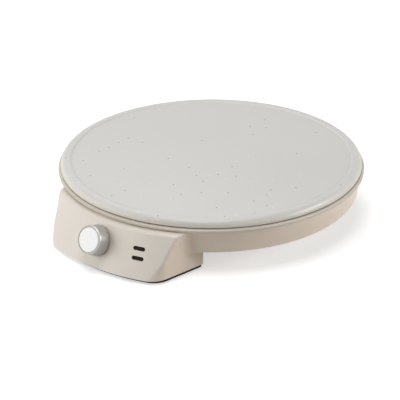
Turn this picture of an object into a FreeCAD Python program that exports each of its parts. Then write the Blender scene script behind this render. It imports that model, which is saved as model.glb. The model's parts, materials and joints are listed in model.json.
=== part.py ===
import FreeCAD, Part
import math
import os
from FreeCAD import Vector

# Electric crepe maker, in millimetres. +Z is up, -Y is the front with the knob, +X is the
# right-hand side seen from the front. The origin lies on the table under the middle of the
# whole outline. Places on the plan are given from the plate's axis as (x, forward).

# Dish: flange, wall and floor
dish_radius = 165.0
dish_top = 53.5
dish_depth = 29.5
flange_height = 4.2
flange_edge_radius = 1.2
flange_overhang = 4.0
wall_draft = 2.5
dish_bottom_radius = 5.0
shell_wall = 2.5

# Cooking plate
plate_gap = 0.6
plate_setback = 2.5
plate_height = 7.8
plate_thickness = 4.0
plate_skirt = 4.0
plate_edge_draft = 1.0
plate_edge_radius = 5.6
rim_width = 9.0
rim_rise = 1.2
plate_boss_radius = 7.0

# Front pedestal
shell_foot = 4.5
face_reach_at_foot = 191.0
face_tilt = 24.0
straight_face_height = 41.5
ledge_width = 2.0
side_half_width = 74.5
side_spread = 4.0
side_line_forward = 176.0
side_flare = 9.5
foot_corner_radius = 22.0
upper_corner_radius = 5.0
corner_taper_top = 22.0
rear_wall_forward = 110.5
rear_corner_radius = 7.0
blend_radius = 16.0
blend_end_radius = 7.0
blend_drop = 0.3
blend_root = 1.0

# Sections in the lofts of the straight part, the shoulder and the side blends
straight_steps = 3
shoulder_steps = 5
blend_steps = 3

# Black base cover
cover_inset = 2.0
cover_front_inset = 4.0
cover_thickness = 3.7
cover_rim_inset = 3.8
cover_rim_front_inset = 6.0
cover_rim_height = 4.0
cover_rim_width = 2.0

# Rear legs
leg_angle = 141.0
leg_outer_radius = 157.5
leg_length = 28.0
leg_width = 34.0
leg_draft = 4.5
leg_corner_radius = 6.0

# Rubber feet
foot_height = 0.8
foot_radius = 7.5
foot_recess = 1.5
foot_stem_radius = 2.4
foot_bulb_radius = 3.2
foot_bulb_length = 2.0
foot_edge_radius = 0.6
front_foot_place = (52.0, 164.0)
rear_foot_inset = 14.0

# Posts, spacers and screws that carry the plate
post_circle = 85.0
post_angles = (60.0, 180.0, 300.0)
post_radius = 6.0
post_top = 40.0
post_screw_radius = 2.0
post_head_radius = 4.0
post_head_height = 3.0
post_head_depth = 6.0
plate_boss_bottom = 46.0
screw_engagement = 11.0

# Heat reflector
reflector_radius = 140.0
reflector_sheet = 0.6
reflector_rim = 5.0
reflector_notch_half_width = 50.0
reflector_notch_forward = 94.0

# Heating element
element_circle = 105.0
element_radius = 3.3
element_groove = 1.55
element_end_half_gap = 18.0
element_bend_radius = 8.0
element_end_drop = 9.0
bead_radius = 5.0
bead_length = 6.0
tag_length = 5.0
tag_width = 5.0
tag_sheet = 0.8

# Straps and their screws
strap_sheet = 0.8
strap_width = 8.0
strap_foot = 8.0
strap_angles = (45.0, 135.0, 225.0, 315.0)
small_screw_radius = 1.4
small_head_radius = 2.6
small_head_height = 1.8
strap_screw_depth = 2.4
driver_slot = 0.6
screw_end_gap = 0.3

# Sensor bulb and thermal fuse under the plate
bulb_radius = 2.5
bulb_length = 34.0
fuse_length = 26.0
sensor_offset = 28.0
sensor_front = 86.0

# Knob and thermostat, along the axis that stands square on the face
knob_height_on_face = 29.6
knob_gap = 0.8
knob_base_radius = 16.0
knob_front_radius = 14.8
knob_length = 14.0
knob_edge_radius = 1.8
knob_skirt_wall = 2.2
knob_hollow_depth = 5.2
knob_hub_radius = 5.6
knob_hub_gap = 0.8
knob_bore_depth = 7.4
cap_radius = 12.8
cap_depth = 1.2
cap_drop = 0.15
spindle_radius = 3.0
spindle_flat = 0.8
spindle_length = 8.0
spring_sheet = 0.4
spring_width = 3.0
collar_radius = 4.8
collar_top = 0.5
pad_radius = 17.0
pad_depth = 4.5
pad_start = 1.6
thermostat_half_width = 14.0
thermostat_half_height = 9.0
thermostat_depth = 12.0
thermostat_corner_radius = 1.5
thermostat_bore_depth = 6.0
thermostat_tag_drop = 6.0
thermostat_tag_side = 9.0
thermostat_screw_offset = 10.0
plunger_radius = 1.5
plunger_tail = 1.5
plunger_gap = 0.3

# Lamp windows, lenses, lamps and their holder
lamp_angle = 15.8
lamp_height_on_face = 28.3
lamp_pitch = 9.9
window_length = 13.2
window_height = 4.2
lens_drop = 0.7
lens_flange = 1.1
lens_flange_depth = 1.5
lens_edge_radius = 0.3
lamp_pad_half_width = 17.0
lamp_pad_half_height = 11.0
holder_half_width = 11.0
holder_half_height = 10.5
holder_depth = 9.5
holder_wall = 1.2
holder_ear = 6.0
holder_ear_depth = 2.5
holder_screw_offset = 14.2
lamp_radius = 2.6
lamp_length = 12.0
lamp_drop = 4.5
lamp_cradle_offset = 4.0

# Terminal block and cord bush at the pedestal's back
block_place = (-45.0, 132.0)
block_width = 30.0
block_length = 16.0
block_height = 12.0
block_pitch = 10.0
block_step = 3.0
block_floor = 1.0
pole_half_width = 4.0
pole_bore_radius = 1.6
pole_bore_depth = 2.0
block_screw_seat = 5.0
cord_bush_height = 15.4
cord_bore_radius = 3.6
cord_bush_radius = 4.8
cord_bush_flange_radius = 6.0
cord_bush_flange = 1.5

# Base screw pillars, the wiring window in the dish floor and the floor's slots
pillar_places = ((66.0, 125.0), (66.0, 146.0))
pillar_radius = 4.5
pillar_top = 33.0
base_screw_length = 9.0
window_left = -54.0
window_right = 40.0
window_back = 118.0
window_front = 142.0
slot_count = 12
slot_length = 30.0
slot_width = 4.0
slot_centre_radius = 58.0

# Wiring
wire_radius = 1.1
lamp_wire_radius = 0.8
capillary_radius = 0.8
wire_bend = 3.0
lamp_wire_spacing = 3.0

# Routes of the wires between their ends, each point as x, forward and height
capillary_route = ((-26, 164, 18), (-28, 150, 17), (-28, 132, 19))
switched_route = ((24, 144, 13), (28, 132, 16))
live_route = ((-32, 158, 10),)
lamp_route = ((20, 139, 7), (-10, 134, 7), (-29.9, 134, 7))
capillary_exit = (3.0, -11.0)
capillary_lead = 6.0
live_pole_height = 10.0
neutral_pole_height = 12.5
neutral_forward = 128.0
neutral_dip = 1.0
fuse_route = ((22, 46, 47), (12, 56, 46), (8, 86, 46), (8, 110, 40), (9, 113, 30))
tag_approach = 8.0
under_reflector = 29.3
tag_lead = 10.0

# Runs to the bulb and the fuse: how far forward they pass the wiring window, the front of the
# reflector and the element's two sides, how high they rise there, and the last straight lead
sensor_window_forward = 127.0
sensor_rise_forward = 118.0
sensor_front_forward = 110.0
sensor_back_forward = 97.0
sensor_window_rise = 6.0
sensor_rise = 2.0
sensor_run_gap = 2.5
sensor_dip = 1.0
sensor_lead = 8.0

# Earth tag on the reflector
earth_place = (-60.0, 96.0)
earth_leaf_half_width = 3.5
earth_leaf_back = 92.0
earth_leaf_front = 108.0
earth_barrel_wall = 0.4
earth_barrel_length = 6.0
earth_screw_engagement = 1.5
earth_lead = 4.0
earth_wire_rise = 8.0
earth_wire_side = 8.0
earth_wire_back = 5.0
earth_wire_turn = 122.0

# Clearances
screw_clearance = 0.3
thread_clearance = 0.05
running_clearance = 0.05
seat_clearance = 0.15
window_clearance = 0.1

# Worked out from the sizes above
tilt = math.radians(face_tilt)
flare = math.radians(side_flare)
floor_low = dish_top - dish_depth
floor_high = floor_low + shell_wall
flange_low = dish_top - flange_height
shoulder_reach = dish_radius + ledge_width
wall_top_radius = dish_radius - flange_overhang
wall_bottom_radius = wall_top_radius - wall_draft
plate_radius = dish_radius - plate_setback
skirt_low = dish_top + plate_gap
plate_top = skirt_low + plate_height
surface_z = plate_top - rim_rise
plate_under = surface_z - plate_thickness
cover_low = shell_foot - cover_thickness
element_z = plate_under + element_groove - element_radius - running_clearance
sensor_z = plate_under - bulb_radius - running_clearance
reach_at_knob = face_reach_at_foot - (knob_height_on_face - shell_foot) * math.tan(tilt)
knob_reach = (reach_at_knob + (knob_gap + knob_length - knob_edge_radius) * math.cos(tilt)
              + (knob_front_radius - knob_edge_radius) * math.sin(tilt) + knob_edge_radius)
front_reach = max(face_reach_at_foot, knob_reach)
plate_y = (front_reach - dish_radius) / 2.0
down = Vector(0, 0, -1)


def place(x, forward, z):
    return Vector(x, plate_y - forward, z)


def at_angle(radius, angle, z):
    turn = math.radians(angle)
    return place(radius * math.sin(turn), radius * math.cos(turn), z)


def cylinder(radius, length, start, direction=Vector(0, 0, 1)):
    return Part.makeCylinder(radius, length, start, direction)


def box(x_low, x_high, forward_low, forward_high, z_low, z_high):
    corner = place(x_low, forward_high, z_low)
    return Part.makeBox(x_high - x_low, forward_high - forward_low, z_high - z_low, corner)


def local_box(x_half, y_low, y_high, z_low, z_high):
    return Part.makeBox(2 * x_half, y_high - y_low, z_high - z_low, Vector(-x_half, y_low, z_low))


def fuse(first, others):
    return first.multiFuse(others).removeSplitter() if others else first


def rounded_edges(points, radii, closed):
    # Straight runs joined by tangent arcs, one radius per point
    count = len(points)
    edges = []
    last_end = None
    first_start = None
    for i in range(count):
        here = points[i]
        inner = closed or 0 < i < count - 1
        if inner and radii[i] > 0:
            back = (points[i - 1] - here).normalize()
            ahead = (points[(i + 1) % count] - here).normalize()
            half = back.getAngle(ahead) / 2.0
            cut = radii[i] / math.tan(half)
            start = here + back * cut
            end = here + ahead * cut
            centre_line = (back + ahead).normalize()
            centre = here + centre_line * (radii[i] / math.sin(half))
            arc = Part.Arc(start, centre - centre_line * radii[i], end).toShape()
        else:
            start = here
            end = here
            arc = None
        if last_end is not None and (start - last_end).Length > 1e-6:
            edges.append(Part.makeLine(last_end, start))
        if arc is not None:
            edges.append(arc)
        if first_start is None:
            first_start = start
        last_end = end
    if closed and (first_start - last_end).Length > 1e-6:
        edges.append(Part.makeLine(last_end, first_start))
    return edges


def revolved(profile, radii):
    # A closed profile of (radius, height) points turned about the plate's axis
    points = [place(0, 0, z) + Vector(r, 0, 0) for r, z in profile]
    face = Part.Face(Part.Wire(rounded_edges(points, radii, True)))
    return face.revolve(place(0, 0, 0), Vector(0, 0, 1), 360)


def local_revolved(profile, radii):
    points = [Vector(r, 0, z) for r, z in profile]
    face = Part.Face(Part.Wire(rounded_edges(points, radii, True)))
    return face.revolve(Vector(0, 0, 0), Vector(0, 0, 1), 360)


def pill(length, height, z_low, z_high, y_centre=0.0):
    # A flat-sided slot shape with round ends, long in local X
    reach = (length - height) / 2.0
    radius = height / 2.0
    low = Vector(0, y_centre - radius, z_low)
    high = Vector(0, y_centre + radius, z_low)
    side = Vector(reach, 0, 0)
    tip = Vector(reach + radius, y_centre, z_low)
    other_tip = Vector(-reach - radius, y_centre, z_low)
    edges = [Part.makeLine(low - side, low + side),
             Part.Arc(low + side, tip, high + side).toShape(),
             Part.makeLine(high + side, high - side),
             Part.Arc(high - side, other_tip, low - side).toShape()]
    return Part.Face(Part.Wire(edges)).extrude(Vector(0, 0, z_high - z_low))


def tube(points, radius, bend):
    # A round bar or wire along straight runs joined by tangent arcs
    radii = [bend] * len(points)
    path = Part.Wire(rounded_edges(points, radii, False))
    start = points[0]
    ring = Part.Wire(Part.makeCircle(radius, start, points[1] - start))
    return path.makePipeShell([ring], True, True)


def face_frame(angle, height):
    # Local Z stands square on the sloping face, local Y runs up it
    turn = math.radians(angle)
    reach = face_reach(height, 0.0)
    outward = Vector(math.sin(turn), -math.cos(turn), 0)
    sideways = Vector(math.cos(turn), math.sin(turn), 0)
    square = outward * math.cos(tilt) + Vector(0, 0, math.sin(tilt))
    upward = Vector(0, 0, math.cos(tilt)) - outward * math.sin(tilt)
    turned = FreeCAD.Rotation(sideways, upward, square, "ZXY")
    return FreeCAD.Placement(at_angle(reach, angle, height), turned)


def put(shape, frame):
    placed = shape.copy()
    placed.Placement = frame.multiply(placed.Placement)
    return placed


def shoulder_arc():
    # The arc that carries the sloping face over to the dish wall
    start_z = shell_foot + straight_face_height
    start_r = face_reach_at_foot - straight_face_height * math.tan(tilt)
    run_r = shoulder_reach - start_r
    run_z = flange_low - start_z
    inward = -(run_r * math.cos(tilt) + run_z * math.sin(tilt))
    radius = (run_r ** 2 + run_z ** 2) / (2.0 * inward)
    centre_r = start_r - radius * math.cos(tilt)
    centre_z = start_z - radius * math.sin(tilt)
    return centre_r, centre_z, radius


def face_reach(z, inset):
    # How far the face stands from the plate's axis at a height, less a wall
    centre_r, centre_z, radius = shoulder_arc()
    radius = radius - inset
    if z <= centre_z + radius * math.sin(tilt):
        reach = face_reach_at_foot - inset / math.cos(tilt) - (z - shell_foot) * math.tan(tilt)
    else:
        reach = centre_r + math.sqrt(radius ** 2 - (z - centre_z) ** 2)
    return reach


def face_top(inset):
    centre_r, centre_z, radius = shoulder_arc()
    across = shoulder_reach - centre_r
    return centre_z + math.sqrt((radius - inset) ** 2 - across ** 2)


def side_offset(inset):
    # Distance of a side face from the plate's axis, square to that face
    return side_half_width * math.cos(flare) + side_line_forward * math.sin(flare) - inset


def spread_at(z, spread):
    # How far the sides stand further out where they curve toward the dish
    share = max((z - corner_taper_top) / (flange_low - corner_taper_top), 0.0)
    return spread * share ** 2


def corner_radius(z):
    # Wide at the foot, closing to a small radius further up
    share = min(max((z - shell_foot) / (corner_taper_top - shell_foot), 0.0), 1.0)
    return foot_corner_radius + (upper_corner_radius - foot_corner_radius) * share


def pedestal_outline(z, inset, front_inset=None, spread=0.0):
    # The pedestal's plan at a height, less a wall or, at the front, less an inset of its own
    reach = face_reach(z, inset if front_inset is None else front_inset)
    offset = side_offset(inset) + spread_at(z, spread)
    corner = corner_radius(z) - inset
    square = Vector(math.cos(flare), math.sin(flare), 0)
    along = Vector(math.sin(flare), -math.cos(flare), 0)
    slide = math.sqrt((reach - corner) ** 2 - (offset - corner) ** 2)
    centre = square * (offset - corner) - along * slide
    on_side = centre + square * corner
    on_front = centre * (reach / (reach - corner))
    middle = centre + (square + Vector(centre).normalize()).normalize() * corner
    rear = rear_wall_forward + inset
    foot = square * offset
    rear_point = foot + along * ((rear - foot.y) / along.y)
    rear_round = max(rear_corner_radius - inset, 1.0)
    inner = Vector(-1, 0, 0)
    half = inner.getAngle(-along) / 2.0
    cut = rear_round / math.tan(half)
    rear_side = rear_point - along * cut
    rear_back = rear_point + inner * cut
    bisector = (inner - along).normalize()
    rear_middle = rear_point + bisector * (rear_round / math.sin(half) - rear_round)

    def spot(point, mirror=1.0):
        return place(mirror * point.x, point.y, z)

    edges = [Part.Arc(spot(on_front, -1), place(0, reach, z), spot(on_front)).toShape(),
             Part.Arc(spot(on_front), spot(middle), spot(on_side)).toShape(),
             Part.makeLine(spot(on_side), spot(rear_side)),
             Part.Arc(spot(rear_side), spot(rear_middle), spot(rear_back)).toShape(),
             Part.makeLine(spot(rear_back), spot(rear_back, -1)),
             Part.Arc(spot(rear_back, -1), spot(rear_middle, -1), spot(rear_side, -1)).toShape(),
             Part.makeLine(spot(rear_side, -1), spot(on_side, -1)),
             Part.Arc(spot(on_side, -1), spot(middle, -1), spot(on_front, -1)).toShape()]
    return Part.Wire(edges)


def pedestal_block(low, inset, spread):
    # The straight lower part, and the shoulder that rounds over to the dish
    centre_r, centre_z, radius = shoulder_arc()
    radius = radius - inset
    bend = centre_z + radius * math.sin(tilt)
    tapered = Part.makeLoft([pedestal_outline(low, inset),
                             pedestal_outline(corner_taper_top, inset)], True, True)
    step = (bend - corner_taper_top) / straight_steps
    straight = Part.makeLoft([pedestal_outline(corner_taper_top + step * i, inset, None, spread)
                              for i in range(straight_steps + 1)], True, spread == 0.0)
    top = face_top(inset)
    end = math.acos((shoulder_reach - centre_r) / radius)
    heights = [centre_z + radius * math.sin(tilt + (end - tilt) * i / shoulder_steps)
               for i in range(shoulder_steps)]
    sections = [pedestal_outline(z, inset, None, spread) for z in heights + [top]]
    shoulder = Part.makeLoft(sections, True, False)
    return tapered.multiFuse([straight, shoulder]).removeSplitter()


def blend_outline(z, radius, mirror):
    # The hollow fillet between a side face and the dish wall, seen from above
    offset = side_offset(0.0) + spread_at(z, side_spread)
    wall = wall_radius(z)
    square = Vector(math.cos(flare), math.sin(flare), 0)
    along = Vector(math.sin(flare), -math.cos(flare), 0)
    slide = math.sqrt((wall + radius) ** 2 - (offset + radius) ** 2)
    centre = square * (offset + radius) - along * slide
    on_side = centre - square * radius
    on_wall = centre * (wall / (wall + radius))
    toward = Vector(0, 0, 0) - square - Vector(centre).normalize()
    middle = centre + toward.normalize() * radius
    root = on_side - square * blend_root
    inside = root * ((wall - shell_wall / 2) / root.Length)
    under = on_wall * ((wall - shell_wall / 2) / wall)

    def spot(point):
        return place(mirror * point.x, point.y, z)

    edges = [Part.Arc(spot(on_side), spot(middle), spot(on_wall)).toShape(),
             Part.makeLine(spot(on_wall), spot(under)),
             Part.makeLine(spot(under), spot(inside)),
             Part.makeLine(spot(inside), spot(root)),
             Part.makeLine(spot(root), spot(on_side))]
    return Part.Wire(edges)


def side_blend(mirror):
    # Widest at the dish floor and closing toward the flange
    rise = (flange_low - blend_drop - floor_low) / blend_steps
    closing = (blend_end_radius - blend_radius) / blend_steps
    return Part.makeLoft([blend_outline(floor_low + rise * i, blend_radius + closing * i, mirror)
                          for i in range(blend_steps + 1)], True, False)


def wall_radius(z):
    share = (z - floor_low) / (flange_low - floor_low)
    return wall_bottom_radius + (wall_top_radius - wall_bottom_radius) * share


def dish_solid():
    profile = [(0, floor_low), (wall_bottom_radius, floor_low), (wall_top_radius, flange_low),
               (dish_radius, flange_low), (dish_radius, dish_top), (0, dish_top)]
    radii = [0, dish_bottom_radius, 0, flange_edge_radius, flange_edge_radius, 0]
    return revolved(profile, radii)


def dish_cavity():
    low = wall_bottom_radius - shell_wall
    high = wall_top_radius - shell_wall
    profile = [(0, floor_high), (low, floor_high), (high, flange_low), (high, plate_top),
               (0, plate_top)]
    return revolved(profile, [0, dish_bottom_radius - shell_wall, 0, 0, 0])


def leg_outline(z, inset):
    # Rear leg on the plan of angle zero, turned to its place later
    draft = leg_draft * (floor_low - z) / floor_low
    outer = leg_outer_radius - draft / 2 - inset
    inner = leg_outer_radius - leg_length + draft / 2 + inset
    half = leg_width / 2 - draft / 2 - inset
    corners = [place(half, outer, z), place(-half, outer, z), place(-half, inner, z),
               place(half, inner, z)]
    radius = leg_corner_radius - inset
    return Part.Wire(rounded_edges(corners, [radius] * 4, True))


def turned(shape, angle):
    placed = shape.copy()
    placed.rotate(place(0, 0, 0), Vector(0, 0, 1), angle)
    return placed


def rear_leg(angle):
    # Solid cup and the hollow that is open to the dish
    outer = Part.makeLoft([leg_outline(cover_low, 0), leg_outline(floor_high, 0)], True, True)
    floor_z = cover_low + foot_recess + shell_wall
    hollow = Part.makeLoft([leg_outline(floor_z, shell_wall),
                            leg_outline(floor_high + 1, shell_wall)], True, True)
    return turned(outer, angle), turned(hollow, angle)


def rear_foot_spot(angle, z):
    return at_angle(leg_outer_radius - rear_foot_inset, angle, z)


def foot_socket(spot, depth):
    recess = cylinder(foot_radius + seat_clearance, foot_recess, spot)
    hole = cylinder(foot_stem_radius + seat_clearance, depth, spot)
    return recess.fuse(hole)


def post_holes():
    holes = []
    for angle in post_angles:
        low = at_angle(post_circle, angle, floor_low)
        holes.append(cylinder(post_head_radius + screw_clearance, post_head_depth, low))
        holes.append(cylinder(post_screw_radius + screw_clearance, post_top, low))
    return holes


def floor_slots():
    slots = []
    for i in range(slot_count):
        slot = pill(slot_length, slot_width, floor_low - 1, floor_high + 1)
        slot.rotate(Vector(0, 0, 0), Vector(0, 0, 1), 90)
        slot.translate(place(0, slot_centre_radius, 0))
        slots.append(turned(slot, 360.0 * (i + 0.5) / slot_count))
    return slots


def thermostat_pad():
    return cylinder(pad_radius, pad_depth - pad_start, Vector(0, 0, -pad_depth))


def lamp_pad():
    return local_box(lamp_pad_half_width, -lamp_pad_half_height, lamp_pad_half_height,
                     -pad_depth, -pad_start)


def knob_holes():
    low = Vector(0, 0, 1 - 2 * pad_depth)
    holes = [cylinder(collar_radius + seat_clearance, 2 * pad_depth, low)]
    for side in (-1, 1):
        spot = Vector(side * thermostat_screw_offset, 0, -2 * pad_depth)
        seat = Vector(side * thermostat_screw_offset, 0, -thermostat_screw_seat())
        holes.append(cylinder(small_screw_radius + screw_clearance, 2 * pad_depth + 1, spot))
        holes.append(cylinder(small_head_radius + screw_clearance, small_head_height, seat))
    return holes


def thermostat_screw_seat():
    # The face curves away under the knob, so the heads sit on small flats
    reach = face_reach(knob_height_on_face, 0.0)
    edge = thermostat_screw_offset + small_head_radius
    return edge ** 2 / (2 * reach)


def lamp_windows():
    windows = []
    for side in (-1, 1):
        windows.append(pill(window_length, window_height, -2 * pad_depth, 1,
                            side * lamp_pitch / 2))
        spot = Vector(side * holder_screw_offset, 0, -pad_depth)
        windows.append(cylinder(small_screw_radius + thread_clearance,
                                pad_depth - pad_start - screw_end_gap, spot))
    return windows


def make_dish_housing():
    dish = dish_solid()
    outer = [pedestal_block(shell_foot, 0.0, side_spread)]
    outer.extend(side_blend(mirror) for mirror in (-1, 1))
    legs = [rear_leg(side * leg_angle) for side in (-1, 1)]
    outer.extend(leg for leg, hollow in legs)
    shell = fuse(dish, outer)
    cavity = pedestal_block(shell_foot - 1.0, shell_wall, 0.0)
    tools = [dish_cavity(), cavity.cut(dish)]
    tools.extend(hollow for leg, hollow in legs)
    shell = shell.cut(tools)
    shell = fuse(shell, shell_inner_pieces())
    return shell.cut(shell_openings()).removeSplitter()


def shell_inner_pieces():
    pieces = [put(thermostat_pad(), face_frame(0.0, knob_height_on_face)),
              put(lamp_pad(), face_frame(lamp_angle, lamp_height_on_face))]
    cavity = dish_cavity()
    for x, forward in pillar_places:
        for side in (-1, 1):
            pillar = cylinder(pillar_radius, pillar_top - shell_foot,
                              place(side * x, forward, shell_foot))
            pieces.append(pillar.cut(cavity))
    for angle in post_angles:
        pieces.append(cylinder(post_radius, post_top - floor_low,
                               at_angle(post_circle, angle, floor_low)))
    return pieces


def shell_openings():
    tools = [put(hole, face_frame(0.0, knob_height_on_face)) for hole in knob_holes()]
    lamp_frame = face_frame(lamp_angle, lamp_height_on_face)
    tools.extend(put(window, lamp_frame) for window in lamp_windows())
    tools.extend(post_holes())
    tools.extend(floor_slots())
    tools.append(box(window_left, window_right, window_back, window_front,
                     floor_low - 1, floor_high + 1))
    for side in (-1, 1):
        tools.append(foot_socket(rear_foot_spot(side * leg_angle, cover_low),
                                 foot_recess + 2 * shell_wall))
    for x, forward in pillar_places:
        for side in (-1, 1):
            tools.append(cylinder(small_screw_radius + thread_clearance, base_screw_length,
                                  place(side * x, forward, shell_foot)))
    tools.append(cylinder(cord_bush_radius + seat_clearance, 4 * shell_wall,
                          cord_spot(-2 * shell_wall), Vector(0, -1, 0)))
    return tools


def cord_spot(depth):
    # A point on the cord bush's axis, measured forward from the rear wall's outer face
    return place(block_place[0], rear_wall_forward + depth, cord_bush_height)


def make_crepe_plate():
    low_inner = plate_radius - plate_skirt
    top_outer = plate_radius - plate_edge_draft
    rim_inner = top_outer - rim_width
    profile = [(0, plate_under), (low_inner, plate_under), (low_inner, skirt_low),
               (plate_radius, skirt_low), (top_outer, plate_top), (rim_inner, plate_top),
               (rim_inner - 2 * rim_rise, surface_z), (0, surface_z)]
    radii = [0, 1.0, 0.8, 0.8, plate_edge_radius, 2.0, 2.0, 0]
    plate = revolved(profile, radii)
    bosses = [cylinder(plate_boss_radius, plate_under - plate_boss_bottom + 1.0,
                       at_angle(post_circle, angle, plate_boss_bottom)) for angle in post_angles]
    plate = fuse(plate, bosses)
    groove = Part.makeTorus(element_circle, element_radius + running_clearance,
                            place(0, 0, element_z), Vector(0, 0, 1))
    tools = [groove]
    for angle in post_angles:
        tools.append(cylinder(post_screw_radius + thread_clearance,
                              screw_engagement + screw_end_gap,
                              at_angle(post_circle, angle, plate_boss_bottom)))
    for spot in strap_screw_spots():
        tools.append(cylinder(small_screw_radius + thread_clearance,
                              strap_screw_depth + screw_end_gap,
                              Vector(spot.x, spot.y, plate_under)))
    return plate.cut(tools)


def end_angle():
    return math.degrees(math.asin((element_end_half_gap + element_bend_radius) / element_circle))


def element_end_path(side):
    # The loop's end runs on along its tangent, then turns down to the cold end
    angle = side * end_angle()
    start = at_angle(element_circle, angle, element_z)
    turn = math.radians(angle)
    along = Vector(-side * math.cos(turn), -side * math.sin(turn), 0)
    corner = start + along * element_bend_radius
    low = corner + down * (element_bend_radius + element_end_drop)
    return start, corner, low


def make_heating_element():
    start = at_angle(element_circle, end_angle(), element_z)
    turn = math.radians(end_angle())
    along = Vector(math.cos(turn), math.sin(turn), 0)
    ring = Part.Face(Part.Wire(Part.makeCircle(element_radius, start, along)))
    loop = ring.revolve(place(0, 0, 0), Vector(0, 0, 1), 360.0 - 2 * end_angle())
    ends = []
    for side in (-1, 1):
        first, corner, low = element_end_path(side)
        bend = element_bend_radius - 0.01
        ends.append(tube([first, corner, low], element_radius, bend))
    return fuse(loop, ends)


def make_element_beads():
    beads = []
    for side in (-1, 1):
        low = element_end_path(side)[2]
        top = low + Vector(0, 0, element_end_drop / 2)
        ring = cylinder(bead_radius, bead_length, top - Vector(0, 0, bead_length / 2))
        bore = cylinder(element_radius + thread_clearance, 2 * bead_length,
                        top - Vector(0, 0, bead_length))
        beads.append(ring.cut(bore))
    return Part.makeCompound(beads)


def make_element_tags():
    tags = []
    for side in (-1, 1):
        low = element_end_path(side)[2]
        corner = low - Vector(tag_sheet / 2, tag_width / 2, tag_length)
        tags.append(Part.makeBox(tag_sheet, tag_width, tag_length, corner))
    return Part.makeCompound(tags)


def strap(radius):
    # A saddle under a round bar that lies along local Y, with a foot each side; local Z = 0
    # is the bar's middle, and the feet press on the plate
    outer = radius + seat_clearance + strap_sheet
    inner = radius + seat_clearance
    start = Vector(0, -strap_width / 2, 0)
    sideways = Vector(0, 1, 0)
    rise = foot_level(radius)
    shell = cylinder(outer, strap_width, start, sideways)
    shell = shell.cut(Part.makeBox(4 * outer, 2 * strap_width, 2 * outer,
                                   Vector(-2 * outer, -strap_width, 0)))
    body = local_box(outer, -strap_width / 2, strap_width / 2, 0, rise)
    foot = local_box(outer + strap_foot, -strap_width / 2, strap_width / 2,
                     rise - strap_sheet, rise)
    hollow = cylinder(inner, 2 * strap_width, Vector(0, -strap_width, 0), sideways)
    slot = local_box(inner, -strap_width, strap_width, 0, rise + 1)
    holes = [hollow, slot]
    for side in (-1, 1):
        holes.append(cylinder(small_screw_radius + screw_clearance, 4.0,
                              Vector(side * strap_screw_offset(radius), 0, rise - 2.0)))
    return fuse(shell, [body, foot]).cut(holes)


def foot_level(radius):
    middle = element_z if radius == element_radius else sensor_z
    return plate_under - middle


def strap_screw_offset(radius):
    return radius + strap_sheet + strap_foot / 2 + 0.5


def strap_frames():
    # Where each strap goes: the element's four, then the bulb's and the fuse's
    frames = []
    for angle in strap_angles:
        spot = at_angle(element_circle, angle, element_z)
        frames.append((element_radius, spot, angle))
    for side in (-1, 1):
        spot = place(side * sensor_offset, sensor_front - fuse_length / 2, sensor_z)
        frames.append((bulb_radius, spot, 90.0))
    return frames


def strap_screw_spots():
    spots = []
    for radius, middle, angle in strap_frames():
        turn = math.radians(angle - 90.0)
        for side in (-1, 1):
            reach = side * strap_screw_offset(radius)
            spots.append(middle + Vector(reach * math.cos(turn), reach * math.sin(turn), 0))
    return spots


def placed_straps(first, last):
    straps = []
    for radius, middle, angle in strap_frames()[first:last]:
        shape = strap(radius)
        shape.rotate(Vector(0, 0, 0), Vector(0, 0, 1), angle - 90.0)
        shape.translate(middle)
        straps.append(shape)
    return straps


def make_strap_screws(first, last):
    screws = []
    for spot in strap_screw_spots()[first:last]:
        under = Vector(spot.x, spot.y, plate_under - strap_sheet)
        screws.append(screw(under, Vector(0, 0, 1), strap_sheet + strap_screw_depth))
    return Part.makeCompound(screws)


def screw(seat, direction, length, radius=small_screw_radius, head=small_head_radius,
          height=small_head_height):
    # A pan-head screw: the seat is the underside of its head
    shank = cylinder(radius, length, seat, direction)
    back = Vector(direction).normalize() * -height
    top = cylinder(head, height, seat + back, direction)
    half = driver_slot / 2
    cross = Part.makeBox(head, driver_slot, height / 2, Vector(-head / 2, -half, 0))
    second = Part.makeBox(driver_slot, head, height / 2, Vector(-half, -head / 2, 0))
    turned_cross = FreeCAD.Placement(seat + back, FreeCAD.Rotation(Vector(0, 0, 1), direction))
    slots = [put(cross, turned_cross), put(second, turned_cross)]
    return fuse(shank, [top]).cut(slots)


def make_heat_reflector():
    high = post_top + reflector_sheet
    profile = [(0, post_top), (reflector_radius, post_top),
               (reflector_radius + reflector_rim / 2, post_top + reflector_rim),
               (reflector_radius + reflector_rim / 2 - reflector_sheet, post_top + reflector_rim),
               (reflector_radius - reflector_sheet, high), (0, high)]
    pan = revolved(profile, [0] * 6)
    tools = [box(-reflector_notch_half_width, reflector_notch_half_width,
                 reflector_notch_forward, 2 * reflector_radius, floor_high, plate_under)]
    for angle in post_angles:
        tools.append(cylinder(post_screw_radius + screw_clearance, 2.0,
                              at_angle(post_circle, angle, post_top - 0.5)))
    spot = earth_spot()
    tools.append(cylinder(small_screw_radius + thread_clearance, 2.0, spot + down))
    return pan.cut(tools)


def make_plate_spacers():
    low = post_top + reflector_sheet
    spacers = []
    for angle in post_angles:
        spot = at_angle(post_circle, angle, low)
        ring = cylinder(post_radius, plate_boss_bottom - low, spot)
        spacers.append(ring.cut(cylinder(post_screw_radius + screw_clearance, 10.0, spot)))
    return Part.makeCompound(spacers)


def make_plate_screws():
    seat = floor_low + post_head_depth
    length = plate_boss_bottom + screw_engagement - seat
    screws = [screw(at_angle(post_circle, angle, seat), Vector(0, 0, 1), length,
                    post_screw_radius, post_head_radius, post_head_height)
              for angle in post_angles]
    return Part.makeCompound(screws)


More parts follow.
